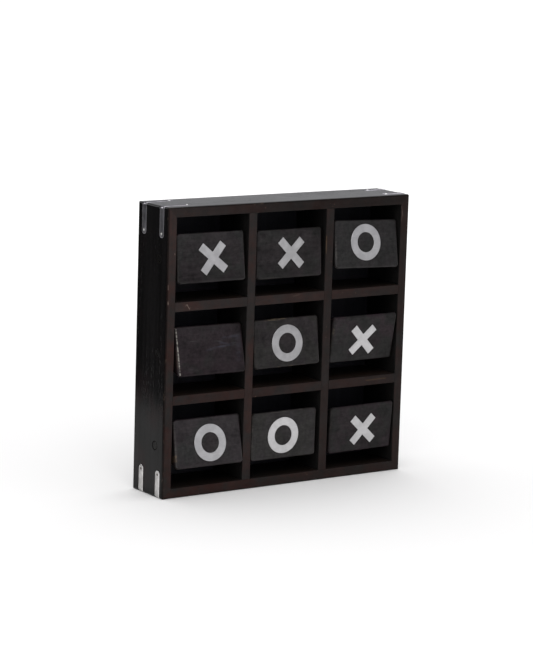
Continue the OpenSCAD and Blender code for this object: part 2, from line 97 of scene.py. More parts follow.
# ---------------------------------------------------------------- node helpers
class Tree:
    """Small writer for a node tree: every call returns a socket."""

    def __init__(self, tree):
        self.t = tree

    def node(self, kind, **props):
        n = self.t.nodes.new(kind)
        for k, v in props.items():
            setattr(n, k, v)
        return n

    def link(self, a, b):
        self.t.links.new(a, b)

    def put(self, sock, val):
        if isinstance(val, bpy.types.NodeSocket):
            self.link(val, sock)
        elif val is not None:
            sock.default_value = val

    def math(self, op, a, b=None, c=None, clamp=False):
        n = self.node("ShaderNodeMath", operation=op, use_clamp=clamp)
        for i, v in enumerate((a, b, c)):
            if v is not None:
                self.put(n.inputs[i], v)
        return n.outputs[0]

    def add(self, a, b): return self.math("ADD", a, b)
    def sub(self, a, b): return self.math("SUBTRACT", a, b)
    def mul(self, a, b): return self.math("MULTIPLY", a, b)
    def mx(self, a, b): return self.math("MAXIMUM", a, b)
    def mn(self, a, b): return self.math("MINIMUM", a, b)

    def vec(self, op, a, b=None):
        n = self.node("ShaderNodeVectorMath", operation=op)
        self.put(n.inputs[0], a)
        if b is not None:
            self.put(n.inputs[1], b)
        return n.outputs["Value"] if op in ("DOT_PRODUCT", "LENGTH", "DISTANCE") else n.outputs[0]

    def ramp(self, x, lo, hi, a=0.0, b=1.0, smooth=True):
        n = self.node("ShaderNodeMapRange", interpolation_type="SMOOTHSTEP" if smooth else "LINEAR")
        n.clamp = True
        self.put(n.inputs["Value"], x)
        for k, v in (("From Min", lo), ("From Max", hi), ("To Min", a), ("To Max", b)):
            self.put(n.inputs[k], v)
        return n.outputs[0]

    def mix(self, f, a, b):
        n = self.node("ShaderNodeMix", data_type="RGBA")
        self.put(n.inputs[0], f)
        self.put(n.inputs[6], a if isinstance(a, bpy.types.NodeSocket) else (*a[:3], 1.0))
        self.put(n.inputs[7], b if isinstance(b, bpy.types.NodeSocket) else (*b[:3], 1.0))
        return n.outputs[2]

    def scale_col(self, col, f):
        n = self.node("ShaderNodeMix", data_type="RGBA", blend_type="MULTIPLY")
        n.inputs[0].default_value = 1.0
        self.put(n.inputs[6], col if isinstance(col, bpy.types.NodeSocket) else (*col[:3], 1.0))
        comb = self.node("ShaderNodeCombineColor")
        for i in range(3):
            self.put(comb.inputs[i], f)
        self.link(comb.outputs[0], n.inputs[7])
        return n.outputs[2]

    def mapping(self, vec, scale=(1, 1, 1), loc=(0, 0, 0), rot=(0, 0, 0)):
        n = self.node("ShaderNodeMapping")
        self.put(n.inputs["Vector"], vec)
        n.inputs["Location"].default_value = loc
        n.inputs["Rotation"].default_value = rot
        n.inputs["Scale"].default_value = scale
        return n.outputs[0]

    def noise(self, vec, scale=1.0, detail=3.0, rough=0.5, distort=0.0, out="Fac"):
        n = self.node("ShaderNodeTexNoise")
        self.put(n.inputs["Vector"], vec)
        n.inputs["Scale"].default_value = scale
        n.inputs["Detail"].default_value = detail
        n.inputs["Roughness"].default_value = rough
        n.inputs["Distortion"].default_value = distort
        return n.outputs[out]

    def voronoi(self, vec, scale=1.0, feature="F1", rand=1.0):
        n = self.node("ShaderNodeTexVoronoi", feature=feature)
        self.put(n.inputs["Vector"], vec)
        n.inputs["Scale"].default_value = scale
        n.inputs["Randomness"].default_value = rand
        return n.outputs["Distance"]

    def sep(self, v):
        n = self.node("ShaderNodeSeparateXYZ")
        self.put(n.inputs[0], v)
        return n.outputs[0], n.outputs[1], n.outputs[2]

    def coords(self):
        return self.node("ShaderNodeTexCoord").outputs["Object"]

    def normal(self):
        """The surface normal in the object's own frame, so masks turn with the piece."""
        g = self.node("ShaderNodeNewGeometry")
        t = self.node("ShaderNodeVectorTransform", vector_type="NORMAL", convert_from="WORLD", convert_to="OBJECT")
        self.link(g.outputs["Normal"], t.inputs[0])
        return t.outputs[0]

    def edge(self, radius, samples=6):
        """0 on flats, towards 1 on edges within radius."""
        b = self.node("ShaderNodeBevel", samples=samples)
        b.inputs["Radius"].default_value = radius
        g = self.node("ShaderNodeNewGeometry")
        d = self.vec("DOT_PRODUCT", b.outputs[0], g.outputs["Normal"])
        return self.ramp(d, 0.999, 0.80)

    def bump(self, height, distance, strength=1.0, normal=None):
        n = self.node("ShaderNodeBump")
        n.inputs["Strength"].default_value = strength
        n.inputs["Distance"].default_value = distance
        self.put(n.inputs["Height"], height)
        if normal is not None:
            self.link(normal, n.inputs["Normal"])
        return n.outputs[0]


def new_material(name):
    m = bpy.data.materials.new(name)
    m.use_nodes = True
    m.node_tree.nodes.clear()
    t = Tree(m.node_tree)
    out = t.node("ShaderNodeOutputMaterial")
    bsdf = t.node("ShaderNodeBsdfPrincipled")
    t.link(bsdf.outputs[0], out.inputs[0])
    return m, t, bsdf


# ---------------------------------------------------------------- wood
def grain_space(t, coords, axis, seed):
    """Coordinates whose first component runs along the grain, moved by a seed so no two pieces match."""
    x, y, z = t.sep(coords)
    order = {"x": (x, y, z), "z": (z, x, y), "y": (y, z, x)}[axis]
    c = t.node("ShaderNodeCombineXYZ")
    for i in range(3):
        t.put(c.inputs[i], t.add(order[i], (seed * (0.137, 0.071, 0.053)[i]) % 1.9))
    return c.outputs[0]


def figure(t, g):
    """Tone bands, streaks, fibres and pores in grain space (metres)."""
    wob = t.noise(t.mapping(g, (6, 30, 30)), 1.0, 2.0, 0.5, out="Color")
    moved = t.vec("ADD", g, t.mapping(wob, (0.0, 0.006, 0.006), (0.0, -0.003, -0.003)))
    band = t.noise(t.mapping(moved, (3.0, 55, 55)), 1.0, 3.0, 0.55)
    streak = t.noise(t.mapping(moved, (11, 300, 300)), 1.0, 4.0, 0.6)
    fibre = t.noise(t.mapping(moved, (70, 1700, 1700)), 1.0, 3.0, 0.65)
    dash = t.voronoi(t.mapping(moved, (120, 1250, 1250)), 1.0)
    where = t.noise(t.mapping(moved, (9, 120, 120)), 1.0, 2.0, 0.5)
    pores = t.mul(t.ramp(dash, 0.33, 0.14), t.ramp(where, 0.48, 0.62))
    return band, streak, fibre, pores


def stroke(t, u, v, p0, p1, width, rag, soft=0.0004):
    """Mask of a ragged scratch from p0 to p1 in the plane of u and v (metres)."""
    ax, ay = p1[0] - p0[0], p1[1] - p0[1]
    ln = math.hypot(ax, ay)
    ax, ay = ax / ln, ay / ln
    du, dv = t.sub(u, p0[0]), t.sub(v, p0[1])
    s = t.add(t.mul(du, ax), t.mul(dv, ay))
    d = t.math("ABSOLUTE", t.sub(t.mul(dv, ax), t.mul(du, ay)))
    ends = t.mul(t.ramp(s, -soft, soft), t.ramp(s, ln + soft, ln - soft))
    return t.mul(ends, t.ramp(t.sub(d, t.mul(t.sub(rag, 0.5), width * 1.6)), width, width * 0.2))


def case_wood(name, axis, seed, outer_rough=0.20, outer_spec=0.12, black=(0.0033, 0.0031, 0.0032), red=(0.0205, 0.0060, 0.0040),
              grey=(0.0074, 0.0056, 0.0050), front_spec=0.175, scratches=(), inner=(0.0115, 0.0074, 0.0058), wall=(0.0078, 0.0072, 0.0070), left_sheen_fall=(0.80, 1.0), arris=0.6):
    """Dark stained wood: glossy black outside, red-brown rubbed front edges made redder and glossier towards the left
    as painted light, darker inside the cells with painted shade deepening towards the back.
    """
    m, t, bsdf = new_material(name)
    co = t.coords()
    g = grain_space(t, co, axis, seed)
    band, streak, fibre, pores = figure(t, g)
    x, y, z = t.sep(co)
    nx, ny, nz = t.sep(t.normal())
    mid_z, half_z = (case_hi.z + case_lo.z) / 2, (case_hi.z - case_lo.z) / 2
    ax, az = t.math("ABSOLUTE", x), t.math("ABSOLUTE", t.sub(z, mid_z))
    tone = t.add(t.mul(t.ramp(band, 0.30, 0.70), 0.5), t.mul(t.ramp(streak, 0.32, 0.68), 0.5))
    cloud = t.noise(co, 26.0, 4.0, 0.6)
    cloud2 = t.noise(t.mapping(co, (1, 1, 1), (3.1, 1.7, 0.4)), 85.0, 4.0, 0.65)
    smoke = t.noise(t.mapping(co, (1, 1, 1), (0.7, 2.9, 5.2)), 9.0, 3.0, 0.55)
    patch = t.noise(t.mapping(co, (1, 1, 1), (seed * 0.31, 1.3, seed * 0.17)), 24.0, 4.0, 0.62, 0.4)
    patch2 = t.noise(t.mapping(co, (1, 1, 1), (2.2, seed * 0.23, 4.1)), 66.0, 4.0, 0.62, 0.4)
    fine = t.noise(co, 420.0, 3.0, 0.6)

    front = t.mul(t.ramp(y, FRONT + 0.0026, FRONT + 0.0006), t.ramp(t.mul(ny, -1.0), 0.30, 0.80))
    back = t.ramp(ny, 0.5, 0.85)
    # outer skin of the case: faces within half a millimetre of its sides, top and underside
    skin = t.mx(t.ramp(ax, case_hi.x - 0.0024, case_hi.x - 0.0014), t.ramp(az, half_z - 0.0024, half_z - 0.0014))
    outside = t.mul(t.mx(skin, back), t.sub(1.0, front))
    # painted shade: colour and reflection inside the cells fall off from the front edge to 30 mm in
    depth_shade = t.ramp(y, FRONT + 0.0010, FRONT + 0.030)

    # inside the cells the upright walls are grey-black and the upward ledges browner in patches; further in, colour
    # is darkened as painted shade
    ledge = t.mul(t.ramp(nz, 0.3, 0.8), t.ramp(cloud, 0.30, 0.62, 0.35, 1.0))
    in_col = t.mix(ledge, wall, inner)
    in_col = t.scale_col(in_col, t.add(0.72, t.mul(tone, 0.60)))
    in_col = t.scale_col(in_col, t.sub(1.0, t.mul(depth_shade, 0.35)))
    # outer skin
    out_col = t.mix(tone, [c * 0.6 for c in black], [c * 1.9 for c in black])
    out_col = t.mix(t.mul(t.ramp(cloud, 0.46, 0.66), t.ramp(z, 0.150, 0.070, 0.15, 0.95)), out_col, (0.0078, 0.0040, 0.0042))
    out_col = t.scale_col(out_col, t.ramp(fine, 0.30, 0.70, 0.80, 1.22))
    # front edges: red-brown and smoky patches, with painted light making them redder towards the left
    blend = t.add(t.mul(t.ramp(patch, 0.36, 0.60), 0.62), t.mul(t.ramp(patch2, 0.38, 0.62), 0.38))
    speckle = t.noise(t.mapping(co, (1, 1, 1), (seed * 0.11, 0.7, seed * 0.29)), 300.0, 3.0, 0.6)
    red_and_left_light = t.mul(t.add(blend, t.mul(t.sub(speckle, 0.5), 0.9)), t.ramp(x, 0.18, -0.10, 0.42, 1.0))
    red_and_left_light = t.mn(t.mx(red_and_left_light, 0.0), 1.15)
    fr_col = t.mix(red_and_left_light, grey, red)
    fr_col = t.scale_col(fr_col, t.add(0.78, t.mul(tone, 0.46)))
    # the rounded outer arris keeps the black of the outside
    turned = t.mx(t.math("ABSOLUTE", nx), t.math("ABSOLUTE", nz))
    rimband = t.mx(t.ramp(ax, case_hi.x - 0.0040, case_hi.x - 0.0030), t.ramp(az, half_z - 0.0040, half_z - 0.0030))
    outer_arris = t.mul(t.mul(rimband, t.ramp(turned, 0.12, 0.50)), arris)
    fr_col = t.mix(outer_arris, fr_col, (0.0018, 0.0014, 0.0014))
    col = t.mix(outside, in_col, out_col)
    col = t.mix(front, col, fr_col)

    # painted sheen: the front edges reflect more towards the upper left and less towards the right
    spec_f = t.add(t.add(t.mul(t.sub(patch, 0.5), -0.12), t.mul(t.sub(cloud2, 0.5), 0.16)), t.add(front_spec, t.mul(t.mul(t.ramp(z, 0.17, 0.27), t.ramp(x, 0.0, -0.14)), 0.085)))
    spec_f = t.mul(spec_f, t.ramp(x, 0.16, -0.06, left_sheen_fall[0], left_sheen_fall[1]))
    spec_f = t.mul(spec_f, t.sub(1.0, t.mul(outer_arris, 0.85)))
    spec_o = t.mul(t.mul(outer_spec, t.ramp(z, 0.0, 0.10, 1.04, 0.90)), t.add(0.80, t.add(t.mul(t.ramp(smoke, 0.35, 0.65), 0.22), t.mul(t.sub(streak, 0.5), 0.35))))
    # painted shade: the inside reflects less deeper into the cells
    spec_i = t.sub(0.30, t.mul(depth_shade, 0.14))
    spec = t.add(t.mul(outside, t.sub(spec_o, spec_i)), spec_i)
    spec = t.add(t.mul(front, t.sub(spec_f, spec)), spec)
    rgh_i = t.add(0.40, t.mul(t.sub(streak, 0.5), 0.12))
    rgh_o = t.add(outer_rough - 0.02, t.add(t.mul(t.ramp(cloud, 0.35, 0.65), 0.03), t.mul(t.ramp(streak, 0.35, 0.65), 0.02)))
    rgh = t.add(t.mul(outside, t.sub(rgh_o, rgh_i)), rgh_i)
    rgh = t.add(rgh, t.mul(pores, 0.22))

    # rubbed arrises round the outside, and stray pale specks and scratches on the front
    worn_noise = t.mul(t.ramp(t.noise(co, 230.0, 4.0, 0.7), 0.54, 0.66), t.ramp(t.noise(co, 32.0, 2.0), 0.50, 0.62))
    corner = t.mul(t.ramp(y, FRONT + 0.0030, FRONT + 0.0012), t.mul(skin, 1.0))
    col = t.mix(t.mul(t.mul(corner, worn_noise), 0.40), col, (0.080, 0.056, 0.042))
    specks = t.mul(t.ramp(t.voronoi(t.mapping(co, (210, 210, 210)), 1.0), 0.13, 0.06), t.ramp(t.noise(co, 40.0, 2.0), 0.57, 0.66))
    col = t.mix(t.mul(t.mul(specks, front), 0.5), col, (0.16, 0.10, 0.075))
    for p0, p1, width, amount, tint in scratches:
        col = t.mix(t.mul(t.mul(stroke(t, x, z, p0, p1, width, fine), front), amount), col, tint)
    col = t.scale_col(col, t.sub(1.0, t.mul(pores, 0.45)))
    t.put(bsdf.inputs["Base Color"], col)
    t.put(bsdf.inputs["Roughness"], rgh)
    t.put(bsdf.inputs["Specular IOR Level"], spec)
    wave = t.noise(t.mapping(g, (9, 150, 150)), 1.0, 2.0, 0.5)
    height = t.add(t.mul(t.sub(t.add(t.mul(fibre, 0.55), t.mul(streak, 0.45)), t.mul(pores, 0.9)), 0.000035), t.mul(wave, 0.00009))
    t.link(t.bump(height, 1.0, 1.0), bsdf.inputs["Normal"])
    return m


def plain_wood(name, axis, seed, dark, light, rough=0.45, spec=0.25, end_axis=None, outer=False):
    m, t, bsdf = new_material(name)
    co = t.coords()
    g = grain_space(t, co, axis, seed)
    band, streak, fibre, pores = figure(t, g)
    tone = t.add(t.mul(t.ramp(band, 0.30, 0.70), 0.55), t.mul(t.ramp(streak, 0.32, 0.68), 0.45))
    col = t.mix(tone, dark, light)
    blotch = t.noise(co, 22.0, 4.0, 0.6)
    height = t.sub(t.add(t.mul(fibre, 0.55), t.mul(streak, 0.45)), t.mul(pores, 0.9))
    rgh = t.add(rough - 0.05, t.add(t.mul(t.ramp(blotch, 0.3, 0.7), 0.10), t.mul(pores, 0.2)))
    if outer:
        # the rear face: wiped stain in tall clouds, pale fibres and rubbing where it meets a wall or table
        ny = t.sep(t.normal())[1]
        rear = t.ramp(ny, 0.5, 0.85)
        wipe = t.noise(t.mapping(g, (7, 26, 26)), 1.0, 4.0, 0.6)
        hair = t.noise(t.mapping(g, (26, 1100, 1100)), 1.0, 3.0, 0.65)
        scuff = t.mul(t.ramp(t.noise(t.mapping(g, (90, 300, 300)), 1.0, 4.0, 0.7), 0.56, 0.70), t.ramp(t.noise(co, 14.0, 3.0, 0.6), 0.50, 0.66))
        rear_col = t.scale_col(t.mix(t.ramp(wipe, 0.34, 0.66), (0.0075, 0.0066, 0.0066), (0.0250, 0.0185, 0.0160)), t.add(0.55, t.mul(t.ramp(hair, 0.28, 0.72), 0.85)))
        rear_col = t.mix(t.mul(scuff, 0.55), rear_col, (0.062, 0.050, 0.044))
        col = t.mix(rear, col, rear_col)
        rgh = t.add(rgh, t.mul(rear, t.mul(t.sub(wipe, 0.5), 0.18)))
    if end_axis is not None:
        nx, ny, nz = t.sep(t.normal())
        end = t.ramp(t.math("ABSOLUTE", nx), 0.75, 0.92)
        x, y, z = t.sep(co)
        rings = t.noise(t.mapping(co, (30, 900, 900)), 1.0, 3.0, 0.55)
        pits = t.ramp(t.voronoi(t.mapping(co, (200, 2300, 2300)), 1.0), 0.28, 0.12)
        centre_y, centre_z = end_axis
        rad = t.vec("LENGTH", t.vec("SUBTRACT", co, t_point(t, x, centre_y, centre_z)))
        gap = t.mul(t.ramp(rad, 0.0036, 0.0042), t.ramp(rad, 0.0052, 0.0048, 0.55, 1.0))
        end_col = t.mix(t.ramp(rings, 0.35, 0.65), (0.0024, 0.0022, 0.0021), (0.0052, 0.0045, 0.0041))
        end_col = t.scale_col(end_col, t.sub(1.0, t.mul(pits, 0.6)))
        end_col = t.mix(t.mul(gap, 0.85), end_col, (0.0092, 0.0088, 0.0084))
        col = t.mix(end, col, end_col)
        rgh = t.sub(rgh, t.mul(end, 0.20))
        spec = t.sub(spec, t.mul(end, t.add(spec - 0.074, t.mul(gap, 0.072))))
        height = t.sub(height, t.mul(t.mul(pits, end), 1.2))
    col = t.scale_col(col, t.sub(1.0, t.mul(pores, 0.45)))
    t.put(bsdf.inputs["Base Color"], col)
    t.put(bsdf.inputs["Roughness"], rgh)
    t.put(bsdf.inputs["Specular IOR Level"], spec)
    t.link(t.bump(height, 0.00006, 0.9), bsdf.inputs["Normal"])
    return m


def t_point(t, x, y, z):
    c = t.node("ShaderNodeCombineXYZ")
    for i, v in enumerate((x, y, z)):
        t.put(c.inputs[i], v)
    return c.outputs[0]


def block_wood(name, facts, seed, spec=0.24, plum=0.4, warm=0.0, wear_and_glints=(), wisps=(), rim_wear=0.22, across=0.0, upward=0.0, spread=(0.42, 0.58), lines=0.45):
    """Charcoal stained block: mottled satin face, rounded arrises rubbed thin with painted highlights along some
    rims, fine grain along its length.
    """
    m, t, bsdf = new_material(name)
    co = t.coords()
    g = grain_space(t, co, "x", seed)
    band, streak, fibre, pores = figure(t, g)
    rel = t.vec("SUBTRACT", co, tuple(facts["centre"]))
    d = [t.vec("DOT_PRODUCT", rel, tuple(n)) for n in facts["normals"]]     # shown, upper, lower
    s = t.vec("DOT_PRODUCT", rel, tuple(facts["axis"]))
    A, half = facts["apothem"], facts["half"]
    side_gap = t.sub(half, t.math("ABSOLUTE", s))
    first = t.mx(t.mx(d[0], d[1]), d[2])
    least = t.mn(t.mn(d[0], d[1]), d[2])
    second = t.sub(t.sub(t.add(t.add(d[0], d[1]), d[2]), first), least)
    long_edge = t.ramp(second, A - 0.0050, A - 0.0028)      # rounded long edges
    rim = t.ramp(side_gap, 0.0030, 0.0010)                  # rounded end rims
    end = t.ramp(side_gap, 0.0003, 0.00005)                 # sawn ends
    arris = t.mul(t.mx(long_edge, rim), t.sub(1.0, end))

    tone = t.add(t.mul(t.ramp(band, 0.30, 0.70), 0.45), t.mul(t.ramp(streak, 0.32, 0.68), 0.55))
    sd = (seed * 0.37 % 5.0, seed * 0.61 % 5.0, seed * 0.23 % 5.0)
    cloud = t.noise(t.mapping(co, (1, 1, 1), sd), 60.0, 5.0, 0.62)
    mott = t.noise(t.mapping(co, (1, 1, 1), sd), 260.0, 4.0, 0.68)
    tint = t.noise(t.mapping(co, (1, 1, 1), (sd[1], sd[2], sd[0])), 44.0, 4.0, 0.62, 0.5)
    sway = t.noise(t.mapping(g, (22, 60, 60)), 1.0, 2.0, 0.5, out="Color")
    swayed = t.vec("ADD", g, t.mapping(sway, (0.0, 0.010, 0.010), (0.0, -0.005, -0.005)))
    grain = t.noise(t.mapping(swayed, (75, 640, 640), (0, 0, 0), (0.0, 0.03, 0.05)), 1.0, 3.0, 0.6)
    neutral = t.mix(tone, (0.0047, 0.0042, 0.0040), (0.0082, 0.0074, 0.0070))
    plummy = t.mix(tone, (0.0078, 0.0038, 0.0055), (0.0125, 0.0066, 0.0090))
    col = t.mix(t.mul(t.ramp(tint, spread[0], spread[1]), min(1.0, plum * 1.6)), neutral, plummy)
    if warm > 0:
        col = t.mix(t.mul(t.ramp(tint, 0.60, 0.44), warm), col, (0.0098, 0.0080, 0.0062))
    thread = t.noise(t.mapping(swayed, (34, 350, 350), (0.3, 0.1, 0.7), (0.0, 0.02, 0.04)), 1.0, 3.0, 0.6)
    mottle = t.add(t.add(t.mul(t.sub(cloud, 0.5), 1.35), t.mul(t.sub(thread, 0.5), lines)), t.add(t.mul(t.sub(mott, 0.5), 1.50), t.mul(t.sub(grain, 0.5), 0.60)))
    col = t.scale_col(col, t.mx(t.add(1.0, mottle), 0.25))
    specs = t.mul(spec, t.add(1.0, t.mul(mottle, 0.72)))
    # painted sheen: the reflection strength is tilted across and up the shown face
    if across or upward:
        v0 = t.mul(t.sub(d[1], d[2]), 0.577)
        shown = t.ramp(t.sub(d[0], t.mx(d[1], d[2])), -0.0015, 0.0015)
        sheen_slope = t.add(t.mul(s, across / half), t.mul(v0, upward / 0.0255))
        specs = t.mul(specs, t.add(1.0, t.mul(sheen_slope, shown)))
    rgh = t.add(0.36, t.add(t.mul(t.ramp(mott, 0.3, 0.7), 0.06), t.mul(t.sub(cloud, 0.5), 0.16)))
    if wisps:
        # paler figure drifting along the grain on the shown face
        vv = t.mul(t.sub(d[1], d[2]), 0.577)
        front_face = t.ramp(t.sub(d[0], t.mx(d[1], d[2])), 0.0005, 0.0020)
        wob = t.noise(t.mapping(co, (1, 1, 1), sd), 120.0, 4.0, 0.65)
        ragged = t.ramp(t.noise(t.mapping(g, (60, 420, 420)), 1.0, 4.0, 0.65), 0.34, 0.60)
        for p0, p1, width, amount, tint_w in wisps:
            m_w = t.mul(t.mul(stroke(t, s, vv, p0, p1, width, wob, 0.004), front_face), t.mul(ragged, amount))
            col = t.mix(m_w, col, tint_w)
            specs = t.mul(specs, t.add(1.0, t.mul(m_w, 0.35)))

    # arrises: stain thinner, wood showing through where handled
    chips = t.noise(t.mapping(co, (260, 260, 260), sd), 1.0, 4.0, 0.70)
    patch = t.noise(t.mapping(co, (42, 42, 42), sd), 1.0, 2.0, 0.5)
    generic = t.mul(t.mul(arris, t.ramp(chips, 0.52, 0.68)), t.ramp(patch, 0.50, 0.64))
    col = t.mix(t.mul(arris, 0.30), col, (0.0120, 0.0104, 0.0096))
    col = t.mix(t.mul(generic, rim_wear), col, (0.085, 0.062, 0.045))
    # the listed marks are rubbed wood in the gold, brown and tan tones and painted highlights in the pale grey and
    # near-white tones, which stand for glints along the rims
    for which, s0, s1, amount, tone_w in wear_and_glints:
        if which in ("upper", "lower"):
            k = 1 if which == "upper" else 2
            line = t.mul(t.ramp(t.mn(d[0], d[k]), A - 0.0047, A - 0.0036), t.ramp(d[k], A - 0.0012, A - 0.0024))
            zone = t.mul(t.ramp(s, s0 * half - 0.002, s0 * half + 0.002), t.ramp(s, s1 * half + 0.002, s1 * half - 0.002))
        else:
            sign = -1.0 if which.startswith("left") else 1.0
            near_end = t.sub(half, t.mul(s, sign))
            if which.endswith("end"):      # a patch on the sawn end and its rim
                line = t.ramp(near_end, 0.0022, 0.0012)
            # painted highlight: a thin bright line where the rim turns into the shown face
            elif which.endswith("rub"):    # a thin line where the rim turns into the shown face
                line = t.mul(t.mul(t.ramp(near_end, 0.0027, 0.0023), t.ramp(near_end, 0.0012, 0.0016)), t.ramp(d[0], A - 0.0050, A - 0.0034))
            else:
                line = t.mul(t.ramp(near_end, 0.0026, 0.0016), t.ramp(near_end, 0.0002, 0.0008))
            v = t.sub(d[1], d[2])
            zone = t.mul(t.ramp(v, s0 * 0.027 - 0.001, s0 * 0.027 + 0.001), t.ramp(v, s1 * 0.027 + 0.001, s1 * 0.027 - 0.001))
        rag = t.ramp(t.noise(t.mapping(co, (150, 420, 420), sd), 1.0, 4.0, 0.7), 0.40, 0.56)
        col = t.mix(t.mul(t.mul(line, zone), t.mul(rag, amount)), col, tone_w)
    col = t.scale_col(col, t.sub(1.0, t.mul(pores, 0.30)))
    # sawn ends are darker and rougher
    col = t.mix(t.mul(end, 0.5), col, (0.0035, 0.0028, 0.0026))
    rgh = t.add(rgh, t.mul(end, 0.15))
    t.put(bsdf.inputs["Base Color"], col)
    t.put(bsdf.inputs["Roughness"], t.add(rgh, t.mul(pores, 0.15)))
    t.put(bsdf.inputs["Specular IOR Level"], specs)
    height = t.sub(t.add(t.mul(fibre, 0.5), t.add(t.mul(grain, 0.3), t.mul(mott, 0.35))), t.mul(pores, 0.7))
    t.link(t.bump(height, 0.00005, 0.9), bsdf.inputs["Normal"])
    return m


# ---------------------------------------------------------------- metal
def metal(name, base, rough, seed, axis="x", dull=0.25, pits=0.3, edge_glint=0.35, grazing=1.0, strip=None, nails=(), roll=1.0):
    m, t, bsdf = new_material(name)
    co = t.coords()
    g = grain_space(t, co, axis, seed)
    lines = t.noise(t.mapping(g, (55, 3800, 3800)), 1.0, 2.0, 0.6)
    scr = t.noise(t.mapping(g, (14, 900, 900)), 1.0, 3.0, 0.6)
    cloud = t.noise(co, 130.0, 3.0, 0.55)
    spots = t.voronoi(t.mapping(co, (900, 900, 900)), 1.0)
    speck = t.mul(t.ramp(spots, 0.22, 0.10), t.ramp(t.noise(co, 260.0, 2.0), 0.52, 0.62))
    e = t.edge(0.00022, 4)
    col = t.mix(t.ramp(cloud, 0.35, 0.68), [b * (1 - dull * 0.35) for b in base], [min(1.0, b * (1 + dull * 0.25)) for b in base])
    col = t.mix(t.mul(t.ramp(scr, 0.55, 0.72), 0.35), col, [min(1.0, b * 1.18) for b in base])
    col = t.mix(t.mul(speck, pits), col, [b * 0.35 for b in base])
    # painted highlight: the metal is brightened towards white along its edges
    col = t.mix(t.mul(e, edge_glint), col, (0.92, 0.92, 0.92))
    t.put(bsdf.inputs["Base Color"], col)
    bsdf.inputs["Metallic"].default_value = 1.0
    bsdf.inputs["Specular Tint"].default_value = (grazing, grazing, grazing, 1.0)
    t.put(bsdf.inputs["Roughness"], t.add(t.add(rough, t.mul(t.sub(cloud, 0.5), 0.22)), t.mul(speck, 0.2)))
    h = t.mul(t.sub(t.add(t.mul(lines, 0.6), t.mul(scr, 0.4)), t.mul(speck, 1.0)), 0.000014)
    if strip is not None:
        # hammered strip: its long edges roll over and the metal dips round each nail
        yc, half_w, zc, zs, xc, xs = strip
        x, y, z = t.sep(co)
        dy = t.sub(y, yc)
        oz = t.mx(t.mul(t.sub(z, zc), zs), 0.0)
        ox = t.mx(t.mul(t.sub(x, xc), xs), 0.0)
        u = t.mul(t.math("SQRT", t.add(t.mul(dy, dy), t.add(t.mul(oz, oz), t.mul(ox, ox)))), 1.0 / half_w)
        h = t.sub(h, t.mul(t.ramp(u, 0.42, 1.05), 0.00075 * roll))
        for c in nails:
            r = t.vec("LENGTH", t.vec("SUBTRACT", co, tuple(c)))
            h = t.sub(h, t.mul(t.ramp(r, 0.0034, 0.0014), 0.00036 * roll))
        dents = t.noise(t.mapping(co, (1, 1, 1)), 210.0, 2.0, 0.5)
        h = t.add(h, t.mul(dents, 0.00004))
        # painted highlight: the rolled edges are made brighter than the middle
        rub = t.ramp(u, 0.55, 0.85)
        col = t.scale_col(col, t.add(0.86, t.mul(rub, 0.24)))
        t.put(bsdf.inputs["Base Color"], col)
    t.link(t.bump(h, 1.0, 1.0), bsdf.inputs["Normal"])
    return m


def assign(node, mat):
    o = NODES[node]
    o.data.materials.clear()
    o.data.materials.append(mat)


def mark_edges(o, broken, angle=30):
    """Finds the corners of the mesh: those that pass broken(point) get a rounding, the others stay crisp."""
    me = o.data
    spot = [(round(v.co.x, 6), round(v.co.y, 6), round(v.co.z, 6)) for v in me.vertices]
    sides = {}
    for p in me.polygons:
        for a, b in p.edge_keys:
            sides.setdefault(frozenset((spot[a], spot[b])), []).append(p.normal.copy())
    limit = math.cos(math.radians(angle))
    weight = me.attributes.new("bevel_weight_edge", "FLOAT", "EDGE")
    crisp = me.attributes.get("sharp_edge") or me.attributes.new("sharp_edge", "BOOLEAN", "EDGE")
    for e in me.edges:
        a, b = e.vertices
        n = sides.get(frozenset((spot[a], spot[b])), ())
        corner = len(n) > 1 and min(n[0].dot(k) for k in n[1:]) < limit
        rounded = corner and broken((me.vertices[a].co + me.vertices[b].co) / 2)
        weight.data[e.index].value = 1.0 if rounded else 0.0
        crisp.data[e.index].value = bool(corner and not rounded)


def soften(o, width, segments, broken):
    """Breaks the razor edges with a small rounding; the mesh itself stays as packed."""
    mark_edges(o, broken)
    w = o.modifiers.new("join", "WELD")
    w.merge_threshold = 0.000004
    if width > 0:
        b = o.modifiers.new("break edges", "BEVEL")
        b.width = width
        b.segments = segments
        b.limit_method = "WEIGHT"
        b.harden_normals = False
        b.use_clamp_overlap = True


# ---------------------------------------------------------------- assign looks
dz_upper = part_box("divider_horizontal_upper")
bar_z = (dz_upper[0].z + dz_upper[1].z) / 2
CHALK, TAN = (0.20, 0.15, 0.125), (0.10, 0.060, 0.030)
scratch = [((-0.1262, bar_z + 0.0022), (-0.1228, bar_z - 0.0030), 0.00050, 0.80, CHALK), ((-0.1278, bar_z + 0.0005), (-0.1262, bar_z + 0.0020), 0.0004, 0.6, CHALK),
           ((0.0040, bar_z + 0.0018), (0.0120, bar_z + 0.0030), 0.0004, 0.25, CHALK)]
low_scratch = [((0.102, 0.0989 + 0.0012 + 0.002), (0.128, 0.0989 + 0.0036), 0.0009, 0.28, TAN)]
left_marks = [((-0.1488, 0.2045), (-0.1485, 0.2010), 0.0006, 0.7, CHALK), ((-0.1422, 0.2530), (-0.1419, 0.2512), 0.0005, 0.5, CHALK), ((-0.1490, 0.221), (-0.1488, 0.216), 0.0005, 0.4, CHALK)]
div_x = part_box("divider_vertical_right")[0].x
divider_marks = [((div_x + 0.0006, 0.2605), (div_x + 0.0008, 0.2420), 0.0007, 0.55, TAN)]
right_marks = [((0.1405, 0.287), (0.1425, 0.276), 0.0003, 0.35, CHALK), ((0.1415, 0.283), (0.1412, 0.271), 0.0003, 0.3, CHALK)]
